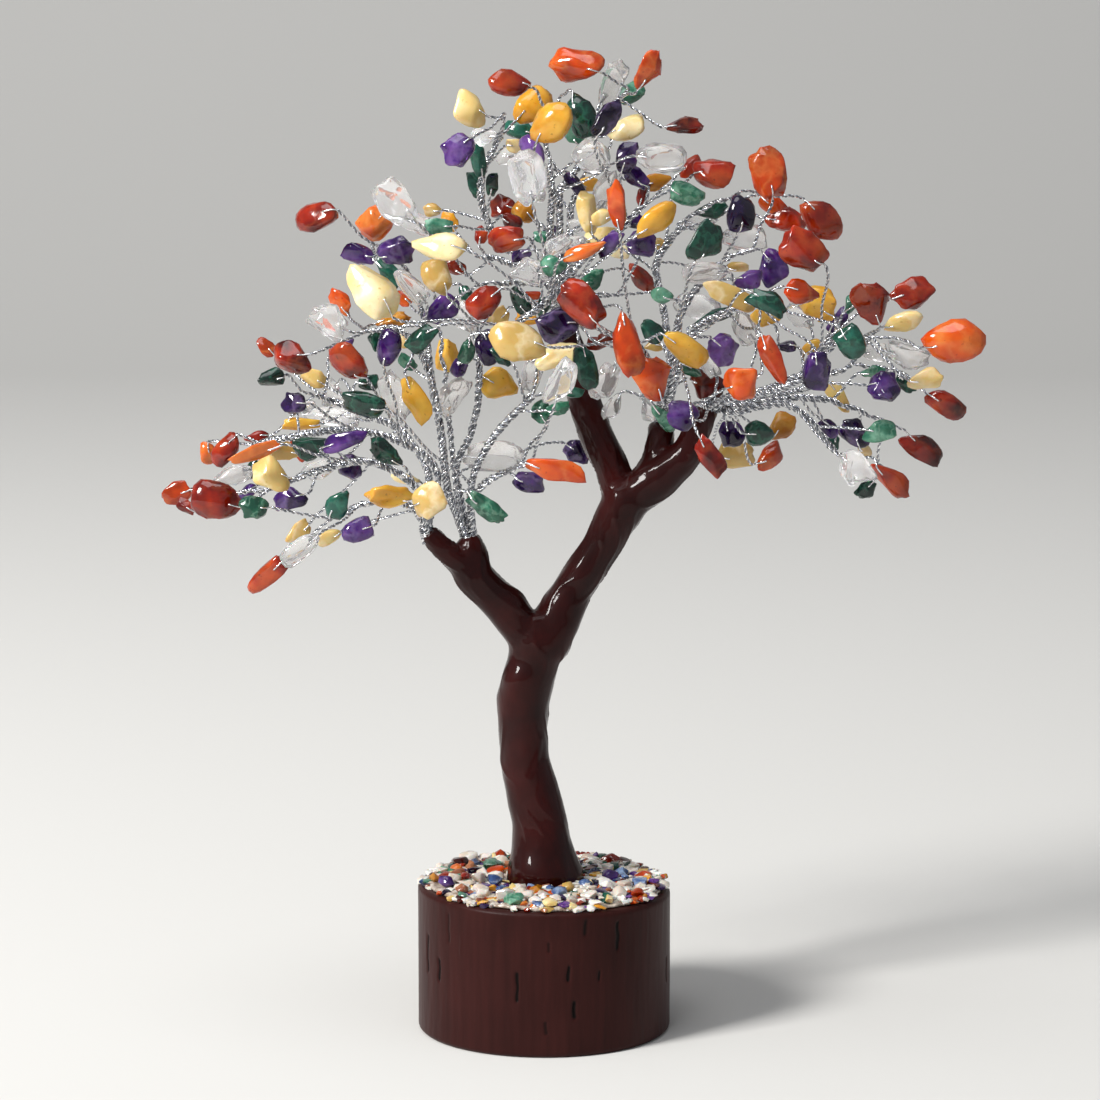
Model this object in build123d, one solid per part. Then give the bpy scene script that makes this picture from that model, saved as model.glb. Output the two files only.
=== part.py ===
from build123d import *
from math import atan2, cos, degrees, hypot, pi, radians, sin, sqrt
import os
import random
import numpy as np

# A gemstone tree: a wire tree with a painted putty bark, standing in a slice of wood strewn with
# gravel, whose twigs each end in a drilled, tumbled stone.
# Millimetres, +Z up, the origin at the centre of the underside of the base, the front towards -Y.

# Base
BASE_DIAMETER = 64.5
BASE_HEIGHT = 37.0
BASE_EDGE = 0.8             # worn rim, top and bottom
TOP_TILT = 1.5              # degrees, the saw cut falls to the right
CRACK_WIDTH = 1.0
CRACK_DEPTH = 1.1
BED_THICKNESS = 1.0
BED_MARGIN = 1.2            # bare rim round the glue
GRAVEL_COUNT = 96
GRAVEL_SIZES = (2.8, 3.8)
GRAVEL_HEIGHTS = (1.2, 2.6)

# Trunk
TRUNK_HEIGHT = 62.0         # from the sawn top to the first fork
FOOT_RADIUS = 9.2
BARK_WALL = 0.8
CORE_RADIUS = 4.6           # the twisted bundle where it enters the wood
SOCKET_DEPTH = 24.0
SOCKET_CLEARANCE = 0.2
FOOT_CLEARANCE = 0.2
BARK_SIDES = 12
CORE_SIDES = 6

# Wires
BRANCH_RADIUS = 0.5
BRANCH_SIDES = 3
BRANCH_SPACING = 1.05       # room between branches in a mouth, in branch diameters
MOUTH_GAP = 0.5             # from a mouth to the branches that leave it
TWIG_RADIUS = 0.32
TWIG_SIDES = 3
TWIG_REACH = 42.0           # a twig is longer only where no branch is nearer
TWIG_LEAST = 3.0
TWIG_ENTRY = 0.15           # least share of a twig's heading that runs along its stone
LEAST_BEND = radians(3.0)   # a wire that turns less than this runs straight on
TWIG_STEP = 2.0             # how finely the branches are searched for a place to leave

# Stones
STONE_THICKNESS = 0.58      # of the stone's width
STONE_LEAST_THICKNESS = 2.4
FACE_SHARE = 0.7            # the flat faces' width, of the stone's
LARGE_STONE = 10.0          # stones from this length on are rounded on both faces
STONE_FULLNESS = 1.12       # a stone's corners stand out of its oval by this much
STONE_GAP = 0.5
STONE_TILT = 20.0           # most that a stone's long side leans back or forward
STONE_ROLL = 30.0           # most that a stone is turned about its long side
HOLE_MARGIN = 1.25          # from the rim of the flat face to the middle of the hole
WIRE_CLEARANCE = 0.1
LAYER_PITCH = 14.0          # depth of one layer of the canopy
SETTLE_STEP = 1.0
SEED = 7

# Cracks in the base: degrees from the front to the right, share of the height, length
CRACKS = [(-66, 0.6, 10.5), (-55, 0.52, 6.3), (-48, 0.83, 8), (-40, 0.73, 6.3), (-12, 0.49, 8.3),
          (0.5, 0.21, 3.8), (2, 0.77, 3), (11, 0.58, 4.5), (13.5, 0.33, 4.8), (19, 0.89, 4.3), (25, 0.55, 3),
          (35, 0.81, 7.8), (75, 0.45, 7), (110, 0.7, 9), (150, 0.35, 6), (200, 0.6, 8), (245, 0.4, 7)]

# The limbs and the canopy are laid out on a front view, drawn in perspective: u to the right and
# w up from the foot of the trunk, both as long as they are in the plane of the trunk's foot.
VIEW_DISTANCE = 1000.0
VIEW_PITCH = radians(8.45)
VIEW_AXIS = 83.6            # height at which the sight axis crosses the drawing
DRAWN_FORK = 62.0           # height of the first fork on the drawing

# Limbs: u, w, depth behind the foot, radius
TRUNK = [(0, 0, 0, FOOT_RADIUS), (0.4, 3, 0, 8.8), (-0.4, 8.5, 0, 7.5), (-1.25, 15.75, 0, 6.5),
         (-3, 24, 0, 6.3), (-4.75, 31, 0, 5.8), (-5.4, 38.5, 0, 5.8), (-5.4, 45.75, 0, 6.3),
         (-2.5, 56, 0, 6.1), (-1.75, 61, 0, 6.8), (-0.5, 67, 0, 4.6)]
BOUGHS = {
    "left": [(-1, 59, 0, 5.4), (-6.25, 64.75, -1, 4.6), (-12.75, 72, -3, 4.3), (-18, 77.5, -5, 4.5),
             (-20, 80, -5, 3.4)],
    "right": [(-0.5, 59, 0, 6), (3.25, 66, 0.5, 5.7), (7.5, 74.25, 1, 4.5), (14, 83.75, 1, 4.5),
              (17.75, 91, 1, 5), (21, 96.5, 1, 5.4), (22, 99, 1, 4.2)],
}
STUBS = {
    "left_outer": [(-16.5, 76, -4.5, 3.6), (-20.5, 80.5, -5.5, 3.2), (-25.5, 84, -6.5, 2.5),
                   (-29, 87.75, -7, 2.0)],
    "left_inner": [(-16.5, 75.5, -4.5, 3.8), (-17.75, 82.5, -5, 3.4), (-18.75, 86.75, -4.5, 2.4)],
    "crown": [(20.5, 94, 1.5, 4.6), (17, 104.5, 3, 3.8), (13.5, 111.5, 4, 3.8), (10.75, 118.5, 5, 3.75),
              (9.5, 124, 5.5, 3.6), (7, 133.5, 6, 3.0), (4.5, 141.5, 6, 2.4)],
    "right_inner": [(25, 99.5, 1, 4.2), (28.25, 105, 2, 3.6), (29.5, 115, 3, 2.7)],
    "right_outer": [(21, 96, 1, 4.6), (29.25, 102, 0, 4.8), (36.25, 108.25, -2, 3.6),
                    (40.75, 119, -3, 2.5)],
}

# Branches from each stub's mouth outwards: u, w, layer
BRANCHES = {
    "left_outer": [
        [(-27, 103.5, -0.5), (-37, 111, -0.5), (-50, 113.5, -0.5), (-63.5, 111.75, -0.3), (-74.75, 109.75, 0)],
        [(-32, 99, -1), (-43.5, 105.5, -1), (-56, 103.5, -0.8), (-70.5, 98.5, -0.5), (-78.5, 97.75, -0.5)],
        [(-33, 94, -1), (-41, 96, -1.4), (-52.25, 91.75, -1.2), (-59.75, 86, -1), (-65.25, 81.75, -0.8)],
        [(-29, 103, 0.6), (-36, 113.5, 0.8), (-43.5, 117, 0.8), (-53.5, 121, 0.8), (-62, 123.5, 0.4)],
    ],
    "left_inner": [
        [(-24, 99, 0.4), (-25.5, 111, 0.4), (-28, 124.75, 0.5), (-31, 146, 0.5), (-36, 155, 0.3),
         (-45, 161.5, 0), (-52, 164, 0)],
        [(-24, 98, -0.4), (-26.5, 118, -0.2), (-30, 131, -0.4), (-36, 138.5, -0.6), (-46, 138, -0.4),
         (-58, 134, -0.2)],
        [(-22, 104, 0), (-18.5, 112.25, 0), (-16.5, 121, 0), (-16, 141, 0)],
        [(-18, 101, -1), (-12.25, 112.25, -1), (-3.5, 121, -1), (1.5, 123.5, -1)],
        [(-17.5, 97, -1), (-12, 102, -1.5), (-2.25, 105.5, -1.8)],
        [(-17, 94, -0.8), (-7.75, 98, -1.4)],
        [(-22.5, 104, 1), (-25, 128, 1.2), (-27, 146, 1.2), (-28, 160, 0.8), (-31, 167, 0.2)],
    ],
    "crown": [
        [(1.5, 149, 0), (-6, 150.25, 0), (-17.5, 149.75, -0.3)],
        [(1, 150, 1.2), (-11, 156, 1.4), (-18.75, 157.25, 1.4)],
        [(2, 152, 0.8), (-11, 160, 0.8), (-15.75, 171, 0.6), (-15.25, 178, 0.5), (-11.75, 186, 0.4),
         (-8.5, 196.5, 0)],
        [(3, 152, 0.2), (1.5, 162.25, 0), (2, 173.5, -0.2), (1, 183.5, -0.2), (4.5, 199, 0)],
        [(4.5, 152, 0.6), (4, 173.5, 0.6), (7.75, 178, 0.5), (14, 188.5, 0.2), (18.25, 196, 0),
         (23, 200, -0.2)],
        [(6, 153, 1.2), (7, 170, 1.4), (12, 180, 1.2), (16.5, 184, 0.9), (29.5, 188.5, 0.4)],
        [(7.5, 153.5, 0), (20.25, 164.75, -0.6), (25, 169.75, -0.6), (36.5, 176, -0.2)],
        [(8, 148, 0.2), (14, 147.25, 0), (26.5, 148, 0.2), (36.5, 150.5, 0)],
        [(3, 147, -1.2), (-2, 143.5, -1.8), (-9, 139, -1.6)],
        [(6.5, 145, -1), (8.5, 138, -1.8), (7, 131, -1.8)],
    ],
    "right_inner": [
        [(31.5, 126, 0.4), (30.25, 141, 0.6), (28, 154.75, 0.8), (31.5, 161, 0.8), (38.25, 168, 0.6),
         (47.75, 172.25, 0.4), (52, 175.5, 0.2)],
        [(32.5, 127, -0.2), (34, 142, -0.2), (45, 156, -0.4), (56.5, 159, -0.5), (61, 160, -0.8)],
        [(31.5, 124, -1), (33, 134, -1.4), (39, 137, -1.4)],
        [(29, 124, -1.2), (26, 131, -1.9), (22.5, 137, -2)],
        [(31.5, 118.5, -1), (35, 118, -1.7), (38.5, 112.5, -2.2)],
        [(33, 127, -0.7), (38, 139, -1), (47, 143.5, -1.2), (54, 146, -1.2)],
    ],
    "right_outer": [
        [(46, 121, -0.7), (54, 122.5, -0.8), (63.5, 126, -0.9), (70.25, 135, -0.8), (79, 143, -0.6),
         (85, 146, -0.2)],
        [(47, 121.5, 0), (55, 123.5, 0.1), (65, 128, 0.1), (73, 135, 0), (81.5, 136.5, -0.2),
         (93.5, 136.5, -0.4)],
        [(48, 120.5, 0.5), (64, 123.5, 0.6), (77.25, 129.5, 0.5), (89, 128, 0.2), (95.25, 123.5, 0)],
        [(48, 119.5, -0.2), (62, 121.5, -0.2), (71, 121, -0.1), (78.25, 118.5, -0.1), (90.5, 113.5, 0)],
        [(47, 118, -0.6), (60, 120, -0.6), (66.5, 116, -0.6), (73.5, 107.75, -0.6), (82, 104, -0.6)],
        [(45, 119, 0.6), (49, 117, 0.8), (53.5, 115, 0.9), (56, 111, 1.1)],
        [(45, 122, -1.2), (51, 125, -1.7), (56, 129, -2)],
    ],
}

# Stones: u, w, layer, length, width, lean in degrees
STONES = {
    "red_carnelian": [
        (-79.5, 108.5, 0, 9.5, 5.5, 55), (-72, 111.75, 1, 6.5, 3.2, 5), (-82, 95.75, -1, 13, 9.5, -15),
        (-89.5, 94.5, 0, 5.5, 3.2, -30), (-69.25, 77, -1, 13, 5, 45), (-57, 166.75, 0, 12, 8, 15),
        (-23, 154.5, 2, 7.5, 4, -30), (-63.25, 131.75, -1, 10, 8.5, 10), (-48.75, 130.25, -2, 11.5, 9, -40),
        (-14.75, 145.5, -2, 9.5, 7, 40), (-8.5, 200.25, -1, 11.5, 6.5, -12), (35.25, 189.75, 0, 10.5, 4.5, 5),
        (-10.5, 169.25, 2, 7.5, 6, -10), (-8, 165.5, 1, 5.5, 4, -30), (-9.25, 161.25, -1, 9.5, 6.5, 5),
        (-15.75, 162.25, 2, 5, 3.5, 80), (36.5, 179.25, 2, 7, 5, 30), (42.5, 177.75, 0, 10.5, 8, 5),
        (24.75, 172.25, 1, 7, 3.2, 70), (60.5, 166, 0, 11, 6.75, -5), (69.25, 166, 1, 13, 8.5, -50),
        (65, 158.5, -2, 12.5, 9.5, -35), (9.5, 145, -3, 13.5, 8.5, -50), (-3.25, 146.5, 1, 5, 4, 0),
        (13.5, 135, 1, 6, 3.5, -10), (15.75, 136.5, 0, 5, 3.5, 20), (24.25, 151.25, 2, 9.25, 5, -30),
        (40.5, 124.5, -1, 10, 7, -20), (57.25, 131, -3, 13.5, 5, -65), (82, 145.5, -1, 12.5, 9.5, -70),
        (92, 147.75, 0, 11.5, 8, 15), (100.5, 120, 0, 11, 5.75, -30), (94.5, 109, 0, 12, 6.75, -45),
        (86.75, 101.25, -1, 12.5, 6.25, -50), (41.5, 107, -3, 11.5, 5.5, -62),
    ],
    "orange_carnelian": [
        (-84, 107.75, 1, 6, 4, 90), (-72.5, 108, -2, 13.5, 4, 18), (-61, 109, 2, 7.5, 6, 80),
        (-92, 97.75, 1, 8, 6, 20), (-42.25, 165.25, 1, 10.5, 8, 50), (-35.25, 146.25, 1, 5, 3.5, -40),
        (-51, 145.5, 1, 8, 5.25, -55), (-69.5, 134.25, 2, 6.5, 4, -45), (3.25, 103.75, -3, 15.5, 5.5, -12),
        (8.25, 204.5, 0, 13.5, 9, -15), (26.25, 203.5, -1, 11, 6.5, 60), (18.25, 169.75, -3, 13, 4.5, -83),
        (56, 177.75, 0, 13.5, 8.75, -80), (57.75, 170, 2, 8.5, 5.5, -30), (64.5, 147.75, -2, 9.5, 6, -20),
        (10.25, 158.25, -3, 11.5, 3.5, 20), (21, 135, -3, 16.5, 7, -80), (27.25, 126.75, -2, 12.5, 10, -70),
        (49.75, 125.25, -2, 9.5, 8.5, 20), (102.5, 135.75, -1, 16, 10.5, 12), (56.25, 106.75, 2, 8.5, 6, 25),
    ],
    "pale_citrine": [
        (-65, 108.5, 1, 9, 5.5, -10), (-68, 102.5, -2, 10, 8.5, -15), (-61.5, 87.75, 2, 8, 5, 40),
        (-53.75, 86.75, 1, 6.75, 4, 25), (-57.75, 126.5, 2, 7.5, 5, -30), (-27.75, 168.5, 1, 5, 3.75, 0),
        (-26.25, 159.5, -2, 14, 7.25, -8), (-43, 148.75, -2, 16, 10.5, -50),
        (-26.5, 151.75, -1, 10, 7.5, -65),
        (-35, 136, 1, 5, 3.5, -60), (-28.5, 96, -1, 9.5, 8.5, 20), (-34.75, 101.25, 1, 8.5, 3.5, -10),
        (-18.25, 193.5, 0, 9, 8.25, -20), (-7.25, 184.5, 1, 5, 3.5, 0), (11, 168, 0, 11, 5, -80),
        (14.5, 166.75, -2, 5.5, 4.5, 20), (14, 162.25, 0, 8.5, 4.5, 20), (20.5, 188.75, 0, 10, 6.25, 20),
        (19, 158.5, 2, 6, 4.5, 0), (29.25, 159.5, 1, 5.5, 4, 0), (-11.5, 141.75, 1, 7, 5, 40),
        (-6.5, 135.5, -3, 14.5, 9.25, -10), (3.25, 132.5, -2, 12, 6.25, 15), (48.5, 154.25, 2, 5.5, 3.2, 0),
        (46.5, 147.25, -2, 15, 5, -22), (27.5, 134.75, 1, 5, 3.2, 0), (89.75, 140.5, 1, 10.75, 5, 15),
        (95.25, 126.25, -1, 9, 5.75, 0), (73.5, 121.75, 0, 9.5, 4.5, -55), (80, 108.5, 1, 5, 3.2, -60),
        (48, 107.25, 2, 10.75, 7.75, 0),
    ],
    "honey_citrine": [
        (-60.75, 115, 1, 10, 3.2, 0), (-23.5, 165.75, 2, 6, 3.75, -60), (-37.75, 141.25, 0, 9.5, 4, 15),
        (-24.25, 132.25, 1, 9.5, 6.75, 90), (-31.75, 121, -1, 13, 5.75, -65),
        (-11.25, 124.75, 0, 10.5, 8.25, -30),
        (-38.5, 97, -2, 12.5, 6.75, -5), (-3.25, 194.75, 1, 11.5, 7.75, 45),
        (1.75, 190.25, -2, 12.5, 8.75, 55),
        (-5, 168, 1, 6.5, 5.5, -40), (11, 175, 1, 5.5, 4.5, 0), (28.25, 175.5, 1, 8, 4.5, 10),
        (28, 166, -2, 12.5, 6, 35), (-4.5, 141.5, 0, 6, 3.5, 0), (55, 141.75, 0, 7, 5.5, -40),
        (35.25, 133.75, -2, 13, 6.25, -35), (68.5, 145.25, 0, 11, 9, -40), (67, 134.5, 1, 5, 3.5, 45),
        (59.25, 114.25, 1, 8.5, 6.25, 50),
    ],
    "dark_aventurine": [
        (-58.25, 108.75, -1, 9.25, 7, 0), (-72.75, 103.75, 1, 5.5, 3.2, 70), (-51.5, 95, -2, 8.75, 5.5, 62),
        (-68.25, 126.5, 0, 7.25, 5, 10), (-45.25, 120, -2, 11.5, 6.5, -10), (-43.75, 125.5, 1, 6, 4, 0),
        (-39, 153, 0, 9, 4.5, -40), (-30.5, 136.5, -2, 9.5, 5.25, 35), (-41.75, 136.25, 0, 6.5, 4.5, 60),
        (-19.5, 147.5, 1, 5, 3.2, -60), (-39.75, 107.75, -1, 10.5, 5.75, -35),
        (-16.25, 180.75, 0, 8.75, 3.75, -80),
        (-17.25, 174.5, 1, 8.25, 3.4, -65), (-13, 175, 0, 6.5, 3.2, 80), (-6, 188.5, 1, 8.5, 4.5, -15),
        (9.25, 192.25, -1, 12, 7.25, -70), (42, 168.25, 1, 9, 4.5, 10), (40.5, 160.25, -2, 11, 8.25, 60),
        (-6, 146, -1, 7.5, 4.25, -60), (0, 144.25, -1, 5.5, 3.2, 85), (-10.5, 132.25, -1, 6.5, 3.75, -45),
        (10.25, 129.25, -2, 11.25, 5.75, -80), (7.75, 123.25, -1, 5, 3.2, 0),
        (56, 145.75, -2, 10.5, 5.5, -28),
        (42.25, 141.75, -1, 12.5, 3.5, 22), (27, 138.25, -1, 7, 5, -50), (77, 135.5, -2, 8.5, 7.25, -50),
        (90.5, 125.25, 0, 6.5, 3.75, -50), (80.75, 98.75, 1, 6.5, 4.5, 50), (54, 112.75, 0, 8, 6.5, 0),
        (72.25, 110.25, 1, 5, 3.2, 80),
    ],
    "light_aventurine": [
        (-72.5, 94.25, -1, 7.75, 5.75, -5), (-26.25, 164.5, 0, 7.25, 4, 0),
        (-19.25, 133.25, -1, 6.75, 4.25, 80),
        (-34.25, 130.5, 0, 5.5, 3.5, -45), (-14.25, 94.25, -2, 11, 5.25, -38), (7.25, 187.5, 0, 7, 4.5, -60),
        (21.75, 198, 1, 8.5, 5.5, 40), (35.75, 172.5, -1, 9, 6, -25), (-0.25, 161.75, 1, 5, 3.4, 0),
        (2.5, 154.75, -2, 6.75, 5.25, 10), (12.25, 151.5, -1, 7, 5, 50), (-0.75, 118, -1, 6, 5, -60),
        (3.5, 119, -1, 6, 3.4, 10), (29.5, 147.25, 0, 6, 4, -20), (37, 128.5, -1, 5.5, 3.4, -30),
        (77, 145.5, 0, 6.25, 4, 50), (82.25, 128.25, 0, 6.75, 3.5, 10), (84, 113.25, -1, 8.5, 5.75, -5),
        (30.25, 116.5, -2, 10, 4.75, -50),
    ],
    "amethyst": [
        (-49.75, 111, -1, 12.5, 4.5, 20), (-74.25, 98, 0, 5.5, 3.2, 35), (-63.5, 96.5, -1, 9, 5.5, 15),
        (-48.5, 104.5, -1, 7, 6.25, -20), (-46.75, 88.5, -2, 8, 5.75, 15), (-62.5, 120.25, -1, 7, 5.25, 0),
        (-46.5, 157.5, 0, 8.75, 5.25, -10), (-36.75, 158.25, -1, 10.5, 7, 10), (-50.25, 134, 1, 7, 4.5, 30),
        (-38.75, 134, -2, 9.75, 6.25, 75), (-25.75, 143.5, -1, 10.5, 6.75, 40),
        (-21.25, 129.25, 0, 5.5, 4.25, 50),
        (-3.5, 100.75, -2, 8.25, 6.75, -20), (-21.5, 183.5, -1, 9.25, 7.25, 40),
        (-2.75, 183.5, -1, 8.75, 5.25, -50),
        (16, 191.5, -2, 10.5, 5.25, 60), (8, 175, 0, 7.5, 3.75, -55), (20.75, 181.75, -1, 8.5, 5.5, 70),
        (23.25, 176.75, -1, 7, 4.75, -40), (49.25, 167.5, -1, 9.5, 7.25, 80), (22.5, 165.5, -1, 6, 4, 20),
        (24, 160, -2, 8, 7, 0), (16.5, 160.25, -2, 8.5, 4, 40), (2.25, 163.25, 2, 5.5, 3.2, 0),
        (-5.75, 157.25, 0, 5.75, 3.2, 20), (3.5, 139.5, -3, 10.5, 8.25, 10), (-14.25, 134, -1, 9, 5.75, -70),
        (51, 151.25, -1, 6.75, 5, 0), (56.75, 154.25, -1, 9, 7.75, -60), (44.75, 133.5, -1, 8.5, 7.75, -45),
        (60.75, 134.5, 1, 5, 3.2, 0), (73.5, 141, 0, 7.5, 4.25, 60), (85, 124.5, -1, 8.5, 7.75, 0),
        (68.25, 128, -2, 10.75, 7, -85), (77.5, 112.5, -1, 8.25, 6.75, -70), (71.25, 114, 0, 6, 3.75, -50),
        (34.5, 117.25, -2, 8.25, 7.25, -20), (46.75, 112.5, 0, 7.25, 6.25, -70),
        (8.5, 108.25, 2, 7.5, 6.25, -30),
    ],
    "quartz": [
        (-78, 102, 0, 11.5, 5, 15), (-56.5, 103.5, 0, 9.25, 5, 20), (-61, 83.75, -2, 11.5, 5.5, 38),
        (-59.25, 119.25, 0, 5, 3.2, 30), (-53, 117, 1, 15.5, 5, -5), (-53, 122.75, 1, 8, 6.5, 60),
        (-37.25, 170.25, -1, 13.5, 9, -40), (-32, 165.5, 1, 10.5, 6, -10), (-33.25, 149.5, -2, 11, 4.75, -50),
        (-53.5, 141, -1, 10.5, 8, -30), (-20.25, 141.5, 0, 9.5, 6.5, -60), (-37, 121.75, 0, 14, 7.25, -70),
        (-23, 122, 0, 11.5, 6.75, 55), (-12.5, 106.75, -2, 16, 7.75, -3), (-2.75, 127.5, -1, 9.5, 5.5, 80),
        (4.25, 125.5, -3, 12.5, 6.75, 75), (17, 200.5, -1, 13.5, 6.25, 60), (11.75, 182, -1, 9.5, 8.75, 20),
        (-4, 176.5, -2, 14, 8.75, -80), (-15, 186.75, 1, 8.5, 5, 0), (-10.25, 182, 2, 7.5, 4.5, 0),
        (15.75, 173.5, -1, 11.5, 6.25, 70), (8.75, 164.5, 1, 6, 3.75, 0), (29.25, 181.5, -1, 12.75, 7.25, -5),
        (39, 165.5, 1, 9.5, 5.5, 0), (50.25, 161.75, 0, 11.75, 7.25, -5), (2.25, 159, -1, 10.5, 4.5, 40),
        (7.75, 160.5, 0, 6.5, 3.5, 0), (-3.5, 153.25, -2, 10.75, 6.5, -5),
        (15.25, 125.75, -1, 10.75, 6.75, 60),
        (17.25, 119.25, -1, 8, 4.25, 60), (40.25, 152.75, -2, 11.75, 6, 0),
        (38.25, 144.5, -1, 12.75, 6.5, -15),
        (50.25, 139, 0, 9.25, 5.75, -60), (41.25, 130, 0, 7.5, 5, -60), (64, 142, 1, 8.5, 5.5, -50),
        (90.75, 131.75, -1, 11.5, 6.25, -15), (83, 133, 1, 7.5, 5, 0), (78, 103.5, -1, 10.75, 7.75, -40),
        (26, 118.5, -2, 6.25, 4.25, -60),
    ],
}

# Gravel: how often each kind turns up
GRAVEL_MIX = {"quartz": 11, "carnelian": 3, "amethyst": 3, "aventurine": 2, "citrine": 2, "lapis": 2,
              "jasper": 2}

CANOPY_LIFT = TRUNK_HEIGHT - DRAWN_FORK
HOLE_RADIUS = 2 * (TWIG_RADIUS + WIRE_CLEARANCE)    # corner radius of a three-sided hole that takes the wire
TOP_PLANE = Plane(origin=(0, 0, BASE_HEIGHT), x_dir=(cos(radians(TOP_TILT)), 0, -sin(radians(TOP_TILT))),
                  z_dir=(sin(radians(TOP_TILT)), 0, cos(radians(TOP_TILT))))


def eye_height():
    """Height of the eye over the trunk's foot, which it sees at the drawing's origin."""
    reach = VIEW_DISTANCE * cos(VIEW_PITCH) - VIEW_AXIS * sin(VIEW_PITCH)
    return VIEW_DISTANCE / reach * (VIEW_AXIS * cos(VIEW_PITCH) + VIEW_DISTANCE * sin(VIEW_PITCH))


EYE_HEIGHT = eye_height()


def sight(u, w, depth):
    """The point at a depth behind the trunk's foot that the drawing shows at u, w."""
    rise = w - VIEW_AXIS
    reach = VIEW_DISTANCE * cos(VIEW_PITCH) + rise * sin(VIEW_PITCH)
    share = (VIEW_DISTANCE + depth) / reach
    height = EYE_HEIGHT + share * (rise * cos(VIEW_PITCH) - VIEW_DISTANCE * sin(VIEW_PITCH))
    lift = CANOPY_LIFT * min(max(height / DRAWN_FORK, 0), 1)
    return np.array([u * share, depth, BASE_HEIGHT + height + lift])


def unit(vector):
    return vector / np.linalg.norm(vector)


# Limbs

def station_planes(stations):
    """A plane square to the limb at each of its stations."""
    points = [sight(u, w, depth) for u, w, depth, _ in stations]
    planes = []
    for i, point in enumerate(points):
        ahead = points[min(i + 1, len(points) - 1)]
        behind = points[max(i - 1, 0)]
        planes.append(Plane(origin=tuple(point), x_dir=(0, 1, 0), z_dir=tuple(ahead - behind)))
    if stations is TRUNK:
        planes[0] = Plane(origin=TOP_PLANE.origin, x_dir=(0, 1, 0), z_dir=TOP_PLANE.z_dir)
    return planes


def tapered_limb(stations, radii, sides):
    """A limb through polygons of the given radii at its stations."""
    sections = [plane * RegularPolygon(radius, sides) for plane, radius in zip(station_planes(stations), radii)]
    return loft(sections, ruled=True)


def bark_limb(stations):
    """The outside of a limb."""
    return tapered_limb(stations, [station[3] for station in stations], BARK_SIDES)


def core_limb(stations):
    """The wire bundle inside a limb, a bark wall thinner."""
    radii = [min(station[3] - BARK_WALL, CORE_RADIUS) for station in stations]
    return tapered_limb(stations, radii, CORE_SIDES)


def make_trunk():
    """The bark with its hollow, and the wire core that fills it and stands in the base."""
    limbs = [TRUNK, *BOUGHS.values(), *STUBS.values()]
    core = core_limb(limbs[0])
    for limb in limbs[1:]:
        core += core_limb(limb)
    foot = station_planes(TRUNK)[0]
    core += extrude(foot * RegularPolygon(CORE_RADIUS, CORE_SIDES), -SOCKET_DEPTH)
    bark = bark_limb(limbs[0])
    for limb in limbs[1:]:
        bark += bark_limb(limb)
    return bark - core, core


# Base

def make_crack(bearing, share, length):
    """The V-shaped groove of one crack in the bark of the slice."""
    skin = BASE_DIAMETER / 2
    outside = skin + CRACK_DEPTH
    section = Polyline((skin - CRACK_DEPTH, 0), (outside, -CRACK_WIDTH), (outside, CRACK_WIDTH), close=True)
    groove = extrude(make_face(section), length)
    return Rot(0, 0, bearing - 90) * Pos(0, 0, share * BASE_HEIGHT - length / 2) * groove


def make_base():
    """The slice of wood: sawn on a slant, cracked, and drilled for the wire core."""
    radius = BASE_DIAMETER / 2
    block = Pos(0, 0, BASE_HEIGHT) * Cylinder(radius, 2 * BASE_HEIGHT)
    waste = TOP_PLANE * Pos(0, 0, BASE_HEIGHT) * Box(2 * BASE_DIAMETER, 2 * BASE_DIAMETER, 2 * BASE_HEIGHT)
    block -= waste
    rims = block.edges().filter_by(lambda edge: edge.length > BASE_DIAMETER)
    block = chamfer(rims, BASE_EDGE)
    for crack in CRACKS:
        block -= make_crack(*crack)
    bore = Circle(CORE_RADIUS + SOCKET_CLEARANCE)
    return block - TOP_PLANE * extrude(bore, SOCKET_DEPTH + SOCKET_CLEARANCE, both=True)


def make_bed():
    """The glue on the sawn top, round the foot of the trunk."""
    outer = Circle(BASE_DIAMETER / 2 - BASE_EDGE - BED_MARGIN)
    return TOP_PLANE * extrude(outer - Circle(FOOT_RADIUS + FOOT_CLEARANCE), BED_THICKNESS)


def make_gravel():
    """Gravel in a sunflower pattern on the glue, sorted by kind."""
    rng = random.Random(SEED)
    kinds = [kind for kind, share in GRAVEL_MIX.items() for _ in range(share)]
    inner = FOOT_RADIUS + FOOT_CLEARANCE + GRAVEL_SIZES[1] / 2
    outer = BASE_DIAMETER / 2 - BASE_EDGE - BED_MARGIN - GRAVEL_SIZES[1] / 2
    golden_angle = pi * (3 - sqrt(5))
    gravel = {kind: [] for kind in GRAVEL_MIX}
    for i in range(GRAVEL_COUNT):
        radius = sqrt(inner ** 2 + (outer ** 2 - inner ** 2) * (i + 0.5) / GRAVEL_COUNT)
        angle = i * golden_angle
        size = rng.uniform(*GRAVEL_SIZES)
        width = size * rng.uniform(0.7, 1.0)
        grain = tapered_chip(stone_outline(rng, size, width), width, rng.uniform(*GRAVEL_HEIGHTS))
        place = Pos(radius * cos(angle), radius * sin(angle), BED_THICKNESS)
        gravel[rng.choice(kinds)].append(TOP_PLANE * place * Rot(0, 0, rng.uniform(0, 360)) * grain)
    return gravel


# Layout of the canopy

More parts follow.
